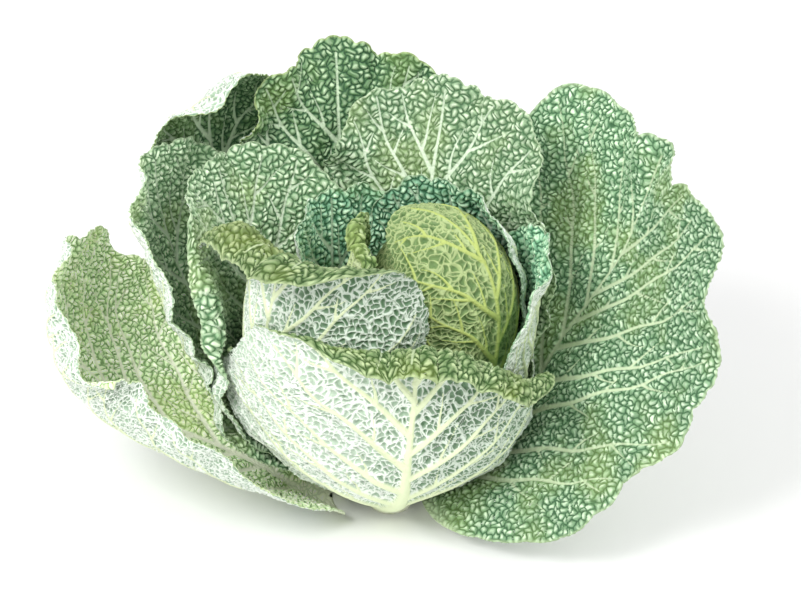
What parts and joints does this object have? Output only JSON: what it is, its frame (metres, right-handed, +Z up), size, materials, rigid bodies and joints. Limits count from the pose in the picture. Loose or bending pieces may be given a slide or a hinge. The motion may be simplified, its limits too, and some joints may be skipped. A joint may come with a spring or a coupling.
{
  "type": "savoy cabbage head",
  "caption": "Savoy cabbage cut at the stem: a tight yellow-green heart in pale net-veined wrapper leaves, with big blistered outer leaves open around it.",
  "frame": {"origin": "the middle of the stem's cut face", "axes": "+Z up the stem, +X to the right along the widest spread of the open leaves, -Y to the front"},
  "size_m": [0.4418, 0.3088, 0.2834],
  "materials": {
    "stem": "moist cut stem, pale cream green, matt",
    "heart": "crisp yellow-green leaf with raised pale veins, satin",
    "wrapper": "leaf with its pale, net-veined back showing, satin",
    "collar": "teal-green blistered leaf, waxy satin",
    "leaf": "mid-green blistered leaf with pale veins, waxy satin"
  },
  "bodies": {
    "root": {"stem": "stem", "heart": "heart", "heart_leaf_front": "heart", "heart_leaf_left": "heart", "collar_leaf_back": "collar", "collar_leaf_left": "collar", "collar_leaf_right": "collar", "wrapper_leaf_left": "wrapper", "wrapper_leaf_front": "wrapper", "cup_leaf_left": "leaf", "tall_leaf_back_right": "leaf", "tall_leaf_back": "leaf", "outer_leaf_left_upper": "leaf", "outer_leaf_back_left": "wrapper", "outer_leaf_right": "leaf", "outer_leaf_left": "leaf", "outer_leaf_rear_right": "leaf", "outer_leaf_rear": "leaf"}
  },
  "joints": []
}
